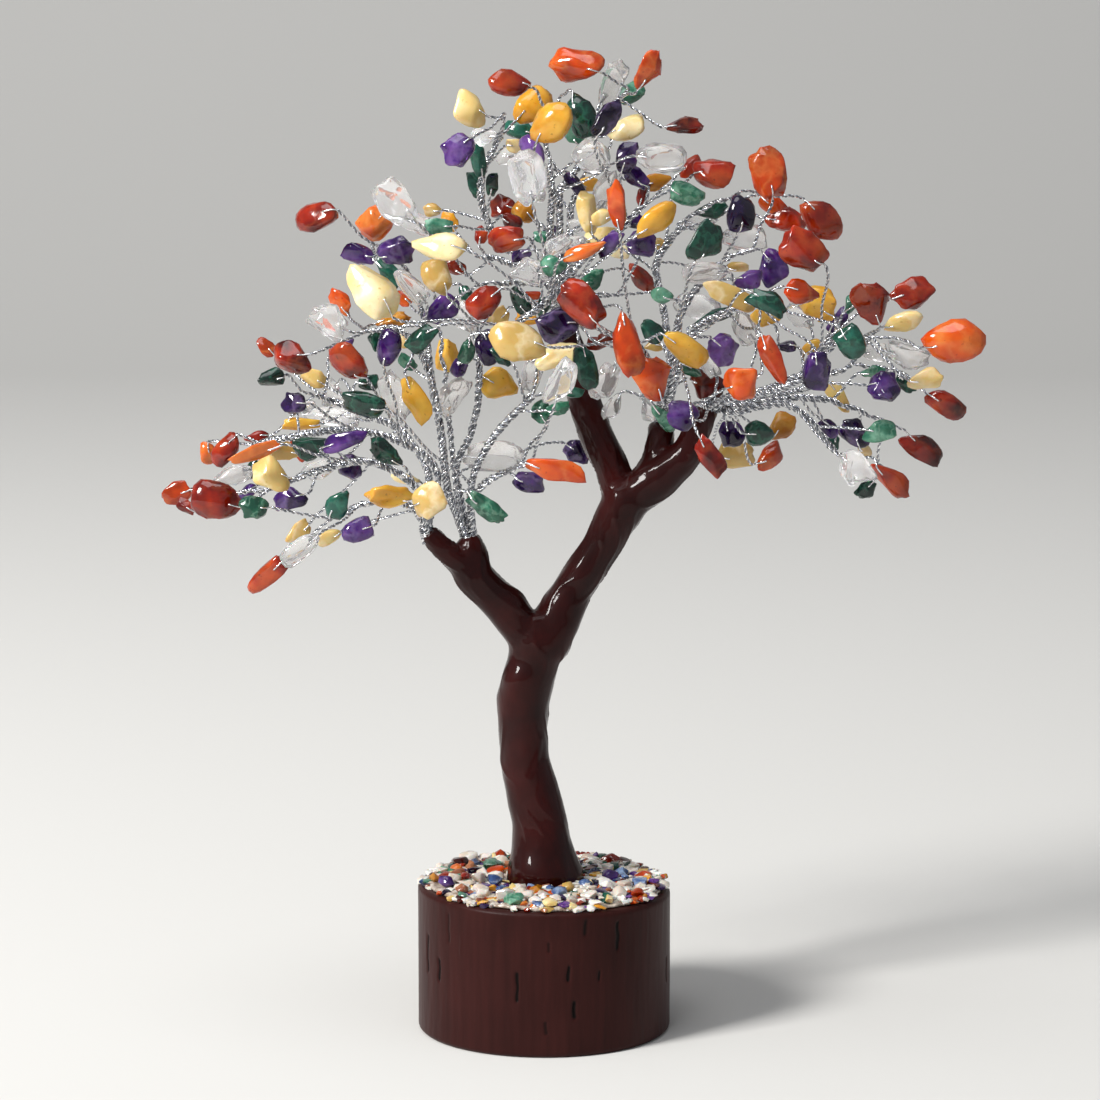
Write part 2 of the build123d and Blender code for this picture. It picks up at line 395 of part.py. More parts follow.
class Stone:
    """One stone's size and place on the drawing, and how it is turned."""

    def __init__(self, kind, row, rng):
        self.kind = kind
        self.u, self.w, layer, self.length, self.width, lean = row
        self.depth = layer * LAYER_PITCH
        self.thickness = max(STONE_THICKNESS * self.width, STONE_LEAST_THICKNESS)
        self.lean = radians(lean)
        tilt = radians(rng.uniform(-STONE_TILT, STONE_TILT))
        roll = radians(rng.uniform(-STONE_ROLL, STONE_ROLL))
        along = np.array([cos(self.lean) * cos(tilt), sin(tilt), sin(self.lean) * cos(tilt)])
        flat = np.array([-sin(self.lean), 0, cos(self.lean)])
        face = unit(np.cross(along, flat))
        self.along = along
        self.across = np.cross(face, along) * cos(roll) + face * sin(roll)
        self.face = np.cross(self.along, self.across)

    @property
    def centre(self):
        return sight(self.u, self.w, self.depth)

    @property
    def half_depth(self):
        """How far the stone reaches in front of its middle and behind it."""
        sides = (self.length * self.along, self.width * self.across, self.thickness * self.face)
        return sum(abs(side[1]) for side in sides) / 2

    def reach(self, bearing):
        """Radius of the stone's outline on the drawing, in one direction."""
        turn = bearing - self.lean
        oval = self.length * self.width / 2 / np.hypot(self.width * np.cos(turn), self.length * np.sin(turn))
        return STONE_FULLNESS * oval

    def turn_round(self):
        """The same stone with its drilled end the other way."""
        self.along = -self.along
        self.across = -self.across

    def point(self, along, across, out):
        return self.centre + along * self.along + across * self.across + out * self.face


def walk(points, step):
    """Points at even steps along straight runs, each with the direction of its run."""
    places, headings = [], []
    for start, end in zip(points, points[1:]):
        count = max(int(np.linalg.norm(end - start) / step), 1)
        for i in range(count):
            places.append(start + (end - start) * i / count)
            headings.append(unit(end - start))
    return places, headings


def obstacles():
    """The limbs and branches on the drawing, as rows of u, w, depth and radius."""
    rows = []
    for stations in [TRUNK, *BOUGHS.values(), *STUBS.values()]:
        rows += walk([np.array(station, float) for station in stations], TWIG_STEP)[0]
    for name, branches in BRANCHES.items():
        mouth = STUBS[name][-1]
        for branch in branches:
            points = [np.array([*mouth[:3], BRANCH_RADIUS])]
            points += [np.array([u, w, layer * LAYER_PITCH, BRANCH_RADIUS]) for u, w, layer in branch]
            rows += walk(points, TWIG_STEP)[0]
    return np.array(rows)


def is_clear(stone, settled, wood):
    """Whether the stone touches neither limbs and branches nor the stones already settled."""
    beside = wood[:, :2] - (stone.u, stone.w)
    reach = stone.reach(np.arctan2(beside[:, 1], beside[:, 0]))
    covered = np.hypot(beside[:, 0], beside[:, 1]) < reach + wood[:, 3] + STONE_GAP
    close = abs(wood[:, 2] - stone.depth) < stone.half_depth + wood[:, 3] + STONE_GAP
    if np.any(covered & close):
        return False
    for other in settled:
        bearing = atan2(other.w - stone.w, other.u - stone.u)
        apart = hypot(other.u - stone.u, other.w - stone.w)
        if apart < stone.reach(bearing) + other.reach(bearing) + STONE_GAP:
            if abs(other.depth - stone.depth) < stone.half_depth + other.half_depth + STONE_GAP:
                return False
    return True


def settle_stones():
    """Every stone on its line of sight, moved nearer or further until it is clear of the rest."""
    rng = random.Random(SEED)
    stones = [Stone(kind, row, rng) for kind, rows in STONES.items() for row in rows]
    stones.sort(key=lambda stone: stone.depth)
    wood = obstacles()
    settled = []
    for stone in stones:
        layer_depth = stone.depth
        shift = 0.0
        while not is_clear(stone, settled, wood):
            shift = -shift if shift > 0 else SETTLE_STEP - shift
            stone.depth = layer_depth + shift
        settled.append(stone)
    return settled


def branch_routes():
    """Each branch's points, from its place in the mouth of its stub outwards."""
    routes = {}
    for name, branches in BRANCHES.items():
        mouth = station_planes(STUBS[name])[-1]
        ring = BRANCH_SPACING * BRANCH_RADIUS / sin(pi / len(branches))
        runs = [[sight(u, w, layer * LAYER_PITCH) for u, w, layer in branch] for branch in branches]

        def bearing(run):
            local = mouth.to_local_coords(Vector(*run[0]))
            return atan2(local.Y, local.X)

        ranked = sorted(runs, key=bearing)
        routes[name] = []
        for rank, run in enumerate(ranked):
            angle = bearing(ranked[0]) + 2 * pi * rank / len(ranked)
            start = mouth.from_local_coords(Vector(ring * cos(angle), ring * sin(angle), MOUTH_GAP))
            routes[name].append([np.array(tuple(start)), *run])
    return routes


def eye_points(stone):
    """The wire's bend at the stone's edge and the two mouths of the drilled hole."""
    out = stone.thickness / 2 + TWIG_RADIUS + WIRE_CLEARANCE
    hole = hole_place(stone)
    edge = -stone.length / 2 - TWIG_RADIUS - WIRE_CLEARANCE
    return stone.point(edge, 0, out), stone.point(hole, 0, out), stone.point(hole, 0, -out)


def hole_place(stone):
    return -FACE_SHARE * stone.length / 2 + HOLE_MARGIN


def limb_points():
    """Points along every limb, each with the limb's radius there."""
    rows = []
    for stations in [TRUNK, *BOUGHS.values(), *STUBS.values()]:
        points = [np.array([*sight(u, w, depth), radius]) for u, w, depth, radius in stations]
        rows += walk(points, TWIG_STEP)[0]
    return np.array(rows)


def blocked(start, end, stones, skipped, limbs):
    """How many points of a straight twig lie in limbs, or in stones other than its own."""
    steps = np.linspace(0, 1, 12)[1:-1]
    line = start + steps[:, None] * (end - start)
    gaps = np.linalg.norm(line[:, None] - limbs[None, :, :3], axis=2) - limbs[:, 3]
    hits = np.count_nonzero(gaps.min(axis=1) < TWIG_RADIUS + WIRE_CLEARANCE)
    for stone in stones:
        if stone is skipped:
            continue
        offset = line - stone.centre
        if np.min(np.abs(offset).max(axis=1)) > stone.length:
            continue
        room = TWIG_RADIUS + WIRE_CLEARANCE
        shares = (offset @ stone.along / (stone.length / 2 + room),
                  offset @ stone.across / (stone.width / 2 + room),
                  offset @ stone.face / (stone.thickness / 2 + room))
        hits += np.count_nonzero(sum(share ** 2 for share in shares) < 1)
    return hits


def route_twig(stone, stones, routes, limbs):
    """The bough and the start of the stone's twig: short, sloping outwards and clear of other stones."""
    choices = []
    for turned in (False, True):
        bend = eye_points(stone)[0]
        for name, runs in routes.items():
            for run in runs:
                for place, heading in zip(*walk(run, TWIG_STEP)):
                    gap = bend - place
                    length = np.linalg.norm(gap)
                    if length < TWIG_LEAST + BRANCH_RADIUS:
                        continue
                    slope = gap @ heading / length
                    entry = gap @ stone.along / length
                    if entry < TWIG_ENTRY:
                        continue
                    cost = length * (1 + 0.8 * max(0.6 - slope, 0) + 0.9 * max(0.7 - entry, 0))
                    cost *= 1 + max(length - TWIG_REACH, 0)
                    choices.append((cost, turned, name, place + gap / length * (BRANCH_RADIUS + TWIG_RADIUS)))
        stone.turn_round()
    choices.sort(key=lambda choice: choice[0])
    best = None
    for cost, turned, name, start in choices[:60]:
        if turned:
            stone.turn_round()
        hits = blocked(start, eye_points(stone)[0], stones, stone, limbs)
        if turned:
            stone.turn_round()
        if best is None or (hits, cost) < best[:2]:
            best = (hits, cost, turned, name, start)
        if hits == 0:
            break
    if best[2]:
        stone.turn_round()
    return best[3], best[4]


# Solids of the canopy

def stone_outline(rng, length, width):
    """An uneven four-sided outline of the given length and width, centred."""
    corners = []
    for i in range(4):
        angle = radians(90 * i + 45 + rng.uniform(-16, 16))
        swell = rng.uniform(0.8, 1.0)
        corners.append((swell * cos(angle), swell * sin(angle)))
    spans = [(min(values), max(values)) for values in zip(*corners)]
    fitted = []
    for corner in corners:
        shares = [(value - low) / (high - low) - 0.5 for value, (low, high) in zip(corner, spans)]
        fitted.append((shares[0] * length, shares[1] * width))
    return make_face(Polyline(*fitted, close=True))


def tapered_chip(outline, width, height):
    """A chip that stands on its outline and narrows upwards to its flat face."""
    inset = (1 - FACE_SHARE) / 2 * width
    return extrude(outline, height, taper=degrees(atan2(inset, height)))


def make_stone(stone, rng):
    """A tumbled stone, drilled near the end that its twig comes to."""
    outline = stone_outline(rng, stone.length, stone.width)
    half = stone.thickness / 2
    if stone.length < LARGE_STONE:
        body = Pos(0, 0, -half) * tapered_chip(outline, stone.width, stone.thickness)
    else:
        chip = tapered_chip(outline, stone.width, half)
        body = chip + mirror(chip, about=Plane.XY)
    drill = extrude(RegularPolygon(HOLE_RADIUS, 3), 2 * stone.thickness)
    hole = Pos(hole_place(stone), 0, -stone.thickness) * drill
    place = Plane(origin=tuple(stone.centre), x_dir=tuple(stone.along), z_dir=tuple(stone.face))
    return place * (body - hole)


def bends(points):
    """The points of a wire without those where it runs straight on."""
    kept = [points[0]]
    for point, after in zip(points[1:], points[2:]):
        if unit(point - kept[-1]) @ unit(after - point) < cos(LEAST_BEND):
            kept.append(point)
    return [*kept, points[-1]]


def make_wire(points, radius, sides):
    """A bent wire through the points."""
    path = Polyline(*[tuple(point) for point in bends(points)])
    section = Plane(origin=tuple(points[0]), z_dir=tuple(points[1] - points[0])) * RegularPolygon(radius, sides)
    return sweep(section, path=path, transition=Transition.RIGHT)


def make_canopy():
    """The branches, twigs and stones of every bough, as a table of node names."""
    rng = random.Random(SEED)
    routes = branch_routes()
    stones = settle_stones()
    limbs = limb_points()
    nodes = {}
    for name, runs in routes.items():
        nodes[name + "_wires"] = [make_wire(run, BRANCH_RADIUS, BRANCH_SIDES) for run in runs]
    for stone in stones:
        name, start = route_twig(stone, stones, routes, limbs)
        nodes[name + "_wires"].append(make_wire([start, *eye_points(stone)], TWIG_RADIUS, TWIG_SIDES))
        nodes.setdefault(f"{name}_{stone.kind}", []).append(make_stone(stone, rng))
    return nodes


def main():
    os.makedirs("parts", exist_ok=True)
    bark, core = make_trunk()
    nodes = {"base_block": [make_base()], "glue_bed": [make_bed()], "bark": [bark], "wire_core": [core]}
    for kind, grains in make_gravel().items():
        nodes["gravel_" + kind] = grains
    nodes.update(make_canopy())
    for name, pieces in nodes.items():
        solids = [solid for piece in pieces for solid in piece.solids()]
        export_step(Compound(children=solids) if len(solids) > 1 else solids[0], f"parts/{name}.step")


main()
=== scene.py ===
import bmesh
import bpy
import math
import random
import numpy as np
from mathutils import Matrix, Vector, noise
from mathutils.bvhtree import BVHTree
from mathutils.kdtree import KDTree


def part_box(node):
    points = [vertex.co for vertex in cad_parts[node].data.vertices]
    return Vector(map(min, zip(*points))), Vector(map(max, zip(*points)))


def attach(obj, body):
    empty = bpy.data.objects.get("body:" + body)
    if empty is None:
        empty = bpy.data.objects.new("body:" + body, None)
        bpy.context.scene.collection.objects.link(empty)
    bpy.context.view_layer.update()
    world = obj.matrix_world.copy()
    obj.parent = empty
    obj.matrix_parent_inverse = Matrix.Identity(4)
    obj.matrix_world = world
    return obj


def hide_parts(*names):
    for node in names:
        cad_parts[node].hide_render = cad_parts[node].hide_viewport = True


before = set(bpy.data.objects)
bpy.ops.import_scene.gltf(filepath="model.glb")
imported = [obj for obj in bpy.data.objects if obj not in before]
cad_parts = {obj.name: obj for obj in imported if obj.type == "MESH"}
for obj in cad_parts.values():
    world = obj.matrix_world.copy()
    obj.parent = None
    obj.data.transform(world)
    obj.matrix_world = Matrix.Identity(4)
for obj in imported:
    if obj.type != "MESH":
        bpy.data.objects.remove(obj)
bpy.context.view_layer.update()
mm = 0.001
weld = 0.01 * mm           # points nearer than this are one
boughs = ["left_outer", "left_inner", "crown", "right_inner", "right_outer"]
print("frame loaded:", len(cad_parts), "nodes")


# working with objects

def deselectAll():
    bpy.ops.object.select_all(action="DESELECT")


def select(obj):
    deselectAll()
    obj.select_set(True)
    bpy.context.view_layer.objects.active = obj


def addObject(name, data):
    obj = bpy.data.objects.new(name, data)
    bpy.context.collection.objects.link(obj)
    return obj


def nodeCopy(name, node):
    obj = addObject(name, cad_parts[node].data.copy())
    obj.data.materials.clear()
    select(obj)
    bpy.ops.object.mode_set(mode="EDIT")
    bpy.ops.mesh.select_all(action="SELECT")
    bpy.ops.mesh.remove_doubles(threshold=weld)
    bpy.ops.object.mode_set(mode="OBJECT")
    return obj


def joinPieces(pieces, name):
    deselectAll()
    for piece in pieces:
        piece.select_set(True)
    bpy.context.view_layer.objects.active = pieces[0]
    bpy.ops.object.join()
    pieces[0].name = name
    return pieces[0]


def applyModifier(obj, kind, **settings):
    select(obj)
    modifier = obj.modifiers.new(kind, kind)
    for key, value in settings.items():
        setattr(modifier, key, value)
    bpy.ops.object.modifier_apply(modifier=modifier.name)


def finishPiece(obj, slot, material, *nodes):
    select(obj)
    bpy.ops.object.shade_smooth()
    obj.data.materials.clear()
    obj.data.materials.append(material)
    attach(obj, "root")
    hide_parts(*nodes)


def readPoints(mesh):
    flat = np.empty(len(mesh.vertices) * 3, np.float32)
    mesh.vertices.foreach_get("co", flat)
    return flat.reshape(-1, 3).astype(float)


def readNormals(mesh):
    flat = np.empty(len(mesh.vertices) * 3, np.float32)
    mesh.vertex_normals.foreach_get("vector", flat)
    return flat.reshape(-1, 3).astype(float)


def writePoints(mesh, points):
    mesh.vertices.foreach_set("co", points.astype(np.float32).ravel())
    mesh.update()


def writeAttribute(mesh, name, values):
    attribute = mesh.attributes.get(name) or mesh.attributes.new(name, "FLOAT", "POINT")
    attribute.data.foreach_set("value", np.asarray(values, np.float32))


def unit(vector):
    return vector / np.linalg.norm(vector)


# reading the frame

def looseParts(node):
    # every separate solid of a node: its points, and its edges as pairs of point numbers
    shape = bmesh.new()
    shape.from_mesh(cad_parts[node].data)
    bmesh.ops.remove_doubles(shape, verts=shape.verts, dist=weld)
    shape.verts.index_update()
    seen = set()
    parts = []
    for first in shape.verts:
        if first.index in seen:
            continue
        seen.add(first.index)
        members, queue = [], [first]
        while queue:
            vert = queue.pop()
            members.append(vert)
            for edge in vert.link_edges:
                other = edge.other_vert(vert)
                if other.index not in seen:
                    seen.add(other.index)
                    queue.append(other)
        place = {vert.index: i for i, vert in enumerate(members)}
        links = [(i, place[edge.other_vert(vert).index]) for i, vert in enumerate(members)
                 for edge in vert.link_edges]
        parts.append((np.array([vert.co[:] for vert in members]), links))
    shape.free()
    return parts


def wireLine(part):
    # the middle of each ring of a bent wire, end to end, and the wire's radius
    points, links = part
    ringReach = 1.3 * mm
    group = list(range(len(points)))
    for i in range(len(points)):
        for j in range(i):
            if group[i] != group[j] and np.linalg.norm(points[i] - points[j]) < ringReach:
                group = [group[j] if label == group[i] else label for label in group]
    rings = {label: [i for i, other in enumerate(group) if other == label] for label in sorted(set(group))}
    nextTo = {label: sorted({group[j] for i, j in links if group[i] == label} - {label}) for label in rings}
    label = min(label for label in rings if len(nextTo[label]) == 1)
    order = [label]
    while len(order) < len(rings):
        label = [other for other in nextTo[label] if other not in order][0]
        order.append(label)
    line = np.array([points[rings[label]].mean(axis=0) for label in order])
    return line, np.linalg.norm(points[rings[order[0]]] - line[0], axis=1).mean()


def nearestOnLine(point, line):
    # how far the point is from the line, how far along that is, and which way the line heads there
    best = None
    run = 0
    for start, end in zip(line, line[1:]):
        length = np.linalg.norm(end - start)
        heading = (end - start) / length
        along = min(max((point - start) @ heading, 0), length)
        apart = np.linalg.norm(start + along * heading - point)
        if best is None or apart < best[0]:
            best = (apart, run + along, heading)
        run += length
    return best


branchRadius = 0.41 * mm    # wires thicker than this are branches, the others twigs


def readBough(bough):
    branches, twigs = [], []
    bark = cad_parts["bark"].data
    tree = KDTree(len(bark.vertices))
    for i, vert in enumerate(bark.vertices):
        tree.insert(vert.co, i)
    tree.balance()
    for part in looseParts(bough + "_wires"):
        line, radius = wireLine(part)
        if radius > branchRadius:
            fromBark = tree.find(line[0])[2] < tree.find(line[-1])[2]
            branches.append(line if fromBark else line[::-1])
        else:
            twigs.append(line)
    for i, line in enumerate(twigs):
        ends = [min(nearestOnLine(end, branch)[0] for branch in branches) for end in (line[0], line[-1])]
        twigs[i] = line if ends[0] < ends[1] else line[::-1]
    return branches, twigs


# materials

def srgb(code):
    parts = [int(code[i:i + 2], 16) / 255 for i in (1, 3, 5)]
    return [c / 12.92 if c <= 0.04045 else ((c + 0.055) / 1.055) ** 2.4 for c in parts] + [1]


def startMaterial(name):
    material = bpy.data.materials.new(name)
    material.use_nodes = True
    return material, material.node_tree, material.node_tree.nodes["Principled BSDF"]


def setSockets(node, **sockets):
    for name, value in sockets.items():
        node.inputs[name.replace("_", " ")].default_value = value


def addNode(tree, kind, **sockets):
    node = tree.nodes.new(kind)
    setSockets(node, **sockets)
    return node


def grey(level):
    return (level, level, level, 1)


def addRamp(tree, source, stops):
    ramp = tree.nodes.new("ShaderNodeValToRGB")
    while len(ramp.color_ramp.elements) < len(stops):
        ramp.color_ramp.elements.new(0.5)
    for element, (place, colour) in zip(ramp.color_ramp.elements, stops):
        element.position = place
        element.color = colour
    tree.links.new(source, ramp.inputs["Fac"])
    return ramp.outputs["Color"]


def addNoise(tree, scale, detail=3.0, stretch=(1, 1, 1)):
    place = tree.nodes.new("ShaderNodeTexCoord")
    turn = addNode(tree, "ShaderNodeMapping", Scale=stretch)
    grain = addNode(tree, "ShaderNodeTexNoise", Scale=scale, Detail=detail)
    tree.links.new(place.outputs["Object"], turn.inputs["Vector"])
    tree.links.new(turn.outputs["Vector"], grain.inputs["Vector"])
    return grain.outputs["Fac"]


def addBump(tree, shader, height, distance, strength=1.0):
    bump = addNode(tree, "ShaderNodeBump", Strength=strength, Distance=distance)
    tree.links.new(height, bump.inputs["Height"])
    tree.links.new(bump.outputs["Normal"], shader.inputs["Normal"])
    return bump.outputs["Normal"]


def addMix(tree, factor, first, second, blend="MIX"):
    mix = tree.nodes.new("ShaderNodeMix")
    mix.data_type = "RGBA"
    mix.blend_type = blend
    for value, name in ((factor, "Factor_Float"), (first, "A_Color"), (second, "B_Color")):
        socket = next(s for s in mix.inputs if s.identifier == name)
        if isinstance(value, bpy.types.NodeSocket):
            tree.links.new(value, socket)
        else:
            socket.default_value = value
    return next(s for s in mix.outputs if s.identifier == "Result_Color")


def readAttribute(tree, name):
    node = tree.nodes.new("ShaderNodeAttribute")
    node.attribute_name = name
    return node.outputs["Fac"]


# tones run from the darkest to the palest stone of a kind
# flaw is the colour of its clouds, vein that of its seams
stoneLooks = {
    "red_carnelian": dict(
        tones=["#420802", "#7c1203", "#a82706", "#bd4718"], flaw="#360904", flawDepth=0.55,
        vein="#c25a2c", veinDepth=0.2, drift=1.3, flawSize=170, glow=0.3, clear=0.12, rough=0.1),
    "orange_carnelian": dict(
        tones=["#9c3002", "#c84202", "#dc5a08", "#e38034"], flaw="#8f2c04", flawDepth=0.5,
        vein="#ee9a50", veinDepth=0.25, drift=1.1, flawSize=150, glow=0.4, clear=0.1, rough=0.1),
    "pale_citrine": dict(
        tones=["#b8954f", "#d4b36a", "#e8cc82", "#f4e4b4"], flaw="#c49a48", flawDepth=0.3,
        vein="#f8efd0", veinDepth=0.4, drift=0.6, flawSize=140, glow=0.3, clear=0.0, rough=0.18),
    "honey_citrine": dict(
        tones=["#a06012", "#c88618", "#e0a028", "#efbc46"], flaw="#80520f", flawDepth=0.35,
        vein="#ecc060", veinDepth=0.25, drift=0.7, flawSize=150, glow=0.3, clear=0.05, rough=0.16),
    "dark_aventurine": dict(
        tones=["#05201a", "#0a3026", "#114437", "#1c5a4c"], flaw="#051a12", flawDepth=0.5,
        vein="#3d8a6c", veinDepth=0.22, drift=0.9, flawSize=420, glow=0.1, clear=0.0, rough=0.14),
    "light_aventurine": dict(
        tones=["#164a38", "#28684f", "#3f8268", "#76b094"], flaw="#14402f", flawDepth=0.45,
        vein="#9fcdb4", veinDepth=0.28, drift=0.9, flawSize=420, glow=0.2, clear=0.05, rough=0.15),
    "amethyst": dict(
        tones=["#150726", "#2b0e4a", "#451a72", "#74489c"], flaw="#12071f", flawDepth=0.55,
        vein="#a98cc9", veinDepth=0.25, drift=1.2, flawSize=190, glow=0.2, clear=0.25, rough=0.07),
    "quartz": dict(
        tones=["#f4f2f0", "#f9f8f7", "#fcfbfb", "#ffffff"], flaw="#e6dcd8", flawDepth=0.5,
        vein="#ffffff", veinDepth=0.9, drift=0.8, flawSize=200, glow=0.1, clear=0.82, rough=0.03),
    "milky_quartz": dict(
        tones=["#cdbfae", "#e0d5c8", "#efe8df", "#faf6f0"], flaw="#d8b9a4", flawDepth=0.35,
        vein="#ffffff", veinDepth=0.5, drift=0.8, flawSize=300, glow=0.2, clear=0.1, rough=0.14),
    "lapis": dict(
        tones=["#1b2a50", "#2c4476", "#4a6698", "#8298b8"], flaw="#141d38", flawDepth=0.4,
        vein="#a9b8cf", veinDepth=0.3, drift=0.8, flawSize=500, glow=0.1, clear=0.0, rough=0.16),
    "jasper": dict(
        tones=["#4a1f12", "#6b2f1c", "#8a4a30", "#a56e4c"], flaw="#2c130c", flawDepth=0.4,
        vein="#b98a68", veinDepth=0.3, drift=0.8, flawSize=400, glow=0.1, clear=0.0, rough=0.18),
}
# what all kinds share: the scales of their noises, as shares of flawSize, and the polish
polishLook = {"drift": 0.8, "seams": 0.55, "specks": 6, "speckDepth": 0.6, "ior": 1.54, "glowReach": 2 * mm,
              "dimples": 420, "dimpleDepth": 0.15 * mm, "dimpleStrength": 0.5}


def stoneMaterial(kind):
    look = stoneLooks[kind]
    material, tree, shader = startMaterial("polished_" + kind)
    stops = [(i / (len(look["tones"]) - 1), srgb(tone)) for i, tone in enumerate(look["tones"])]
    drift = addNode(tree, "ShaderNodeMapRange", To_Min=-look["drift"], To_Max=look["drift"])
    tree.links.new(addNoise(tree, look["flawSize"] * polishLook["drift"], 2), drift.inputs["Value"])
    tone = tree.nodes.new("ShaderNodeMath")
    tree.links.new(readAttribute(tree, "tone"), tone.inputs[0])
    tree.links.new(drift.outputs["Result"], tone.inputs[1])
    colour = addRamp(tree, tone.outputs["Value"], stops)
    flaws = addRamp(tree, addNoise(tree, look["flawSize"], 5),
                    [(0.3, grey(look["flawDepth"])), (0.55, grey(0))])
    colour = addMix(tree, flaws, colour, srgb(look["flaw"]))
    # pale seams run where a second noise passes its middle, dark specks where a fine one is high
    seams = addRamp(tree, addNoise(tree, look["flawSize"] * polishLook["seams"], 4),
                    [(0.46, grey(0)), (0.5, grey(look["veinDepth"])), (0.56, grey(0))])
    colour = addMix(tree, seams, colour, srgb(look["vein"]))
    specks = addRamp(tree, addNoise(tree, look["flawSize"] * polishLook["specks"], 2),
                     [(0.66, grey(0)), (0.74, grey(polishLook["speckDepth"]))])
    colour = addMix(tree, specks, colour, srgb(look["flaw"]))
    tree.links.new(colour, shader.inputs["Base Color"])
    setSockets(shader, Roughness=look["rough"], IOR=polishLook["ior"], Subsurface_Weight=look["glow"],
               Subsurface_Scale=polishLook["glowReach"], Transmission_Weight=look["clear"])
    dimples = addNoise(tree, polishLook["dimples"], 2)
    addBump(tree, shader, dimples, polishLook["dimpleDepth"], polishLook["dimpleStrength"])
    return material


def wireMaterial():
    material, tree, shader = startMaterial("silver_wire")
    # one wire of each pair is painted darker than the other: painted shade and painted highlight that stand
    # in for the dark gaps and bright lines of the twist
    colour = addRamp(tree, readAttribute(tree, "tone"), [(0.3, srgb("#9da0a7")), (0.7, srgb("#ffffff"))])
    smudge = addRamp(tree, addNoise(tree, 900, 2), [(0.3, srgb("#d4d6da")), (0.6, srgb("#ffffff"))])
    colour = addMix(tree, 1.0, colour, smudge, "MULTIPLY")
    tree.links.new(colour, shader.inputs["Base Color"])
    setSockets(shader, Metallic=1.0, Roughness=0.1)
    return material


def barkMaterial():
    material, tree, shader = startMaterial("bark_lacquer")
    colour = addRamp(tree, addNoise(tree, 90, 3), [(0.35, srgb("#210504")), (0.7, srgb("#330907"))])
    tree.links.new(colour, shader.inputs["Base Color"])
    setSockets(shader, Roughness=0.5, Specular_IOR_Level=0.05,
               Coat_Weight=0.7, Coat_IOR=1.3, Coat_Roughness=0.05)
    wrinkles = addBump(tree, shader, addNoise(tree, 260, 2, (1, 1, 0.6)), 0.5 * mm, 0.35)
    tree.links.new(wrinkles, shader.inputs["Coat Normal"])
    return material


def baseMaterial():
    material, tree, shader = startMaterial("painted_wood")
    fibre = addNoise(tree, 500, 3, (1, 1, 0.08))
    colour = addRamp(tree, fibre, [(0.2, srgb("#2f1412")), (0.8, srgb("#3b1a18"))])
    blotch = addRamp(tree, addNoise(tree, 60, 2), [(0.3, grey(0.8)), (0.7, grey(1))])
    colour = addMix(tree, 1.0, colour, blotch, "MULTIPLY")
    # the cracks are painted darker the deeper they go: painted shade in the recesses
    crack_shade = addRamp(tree, readAttribute(tree, "crack_shade"), [(0.12, grey(0)), (0.5, grey(1))])
    colour = addMix(tree, crack_shade, colour, srgb("#0d0605"))
    tree.links.new(colour, shader.inputs["Base Color"])
    setSockets(shader, Roughness=0.4, Specular_IOR_Level=0.1)
    addBump(tree, shader, fibre, 0.2 * mm, 0.2)
    return material


def glueMaterial():
    material, tree, shader = startMaterial("clear_glue")
    colour = addRamp(tree, addNoise(tree, 600, 4), [(0.35, srgb("#a08a78")), (0.65, srgb("#e3d8cb"))])
    tree.links.new(colour, shader.inputs["Base Color"])
    setSockets(shader, Roughness=0.12, Transmission_Weight=0.15)
    addBump(tree, shader, addNoise(tree, 900, 3), 0.5 * mm, 0.8)
    return material


stoneMaterials = {kind: stoneMaterial(kind) for kind in stoneLooks}
print("materials made:", len(stoneMaterials) + 4)


# pebbles, modelled once each in a box of one unit and copied to every stone

pebbleLook = {"kinds": 24, "spread": 0.23, "merge": 20, "edge": 19, "segments": 2, "seed": 5, "dent": 0.2}
crumbLook = {"kinds": 6, "spread": 0.24, "merge": 24, "edge": 12, "segments": 1, "seed": 71, "dent": 0}
# dents come from one noise, in which every pebble has its own place
dentNoise = {"scale": 2.6, "apart": 7.3}


def modelPebble(name, look, number):
    # every third pebble is lumpy, the others are worn pieces with flats
    lumpy = number % 3 == 2
    deselectAll()
    if number % 3 == 1:
        bpy.ops.mesh.primitive_ico_sphere_add(subdivisions=1, radius=0.5)
    else:
        bpy.ops.mesh.primitive_cube_add(size=0.8)
    obj = bpy.context.object
    obj.name = name
    bpy.ops.object.mode_set(mode="EDIT")
    bpy.ops.mesh.select_all(action="SELECT")
    if number % 3 != 1:
        bpy.ops.mesh.subdivide(number_cuts=1, smoothness=0.9)
    bpy.ops.transform.vertex_random(offset=look["spread"], uniform=0.8, seed=look["seed"] + number)
    if not lumpy:
        bpy.ops.mesh.convex_hull(join_triangles=True)
        bpy.ops.mesh.select_all(action="SELECT")
        bpy.ops.mesh.dissolve_limited(angle_limit=math.radians(look["merge"]))
        bpy.ops.mesh.select_all(action="SELECT")
        bpy.ops.mesh.bevel(offset_type="PERCENT", offset_pct=look["edge"], segments=look["segments"])
        bpy.ops.mesh.select_all(action="SELECT")
        bpy.ops.mesh.remove_doubles(threshold=0.02)
        bpy.ops.mesh.normals_make_consistent(inside=False)
    bpy.ops.object.mode_set(mode="OBJECT")
    if look["dent"]:
        shape = "CATMULL_CLARK" if lumpy else "SIMPLE"
        applyModifier(obj, "SUBSURF", levels=1, render_levels=1, subdivision_type=shape)
    points = readPoints(obj.data)
    place = Vector((number * dentNoise["apart"], 0, 0))
    dents = [noise.noise(Vector(point) * dentNoise["scale"] + place) for point in points]
    points *= 1 + look["dent"] * np.array(dents)[:, None]
    low, high = points.min(axis=0), points.max(axis=0)
    writePoints(obj.data, (points - (low + high) / 2) / (high - low))
    return obj


def copyPebble(model, name, axes, centre, size, tone):
    # axes are the stone's length, width and thickness directions
    mesh = model.data.copy()
    points = readPoints(mesh) * size
    writePoints(mesh, centre + points @ axes)
    writeAttribute(mesh, "tone", np.full(len(points), tone))
    return addObject(name, mesh)


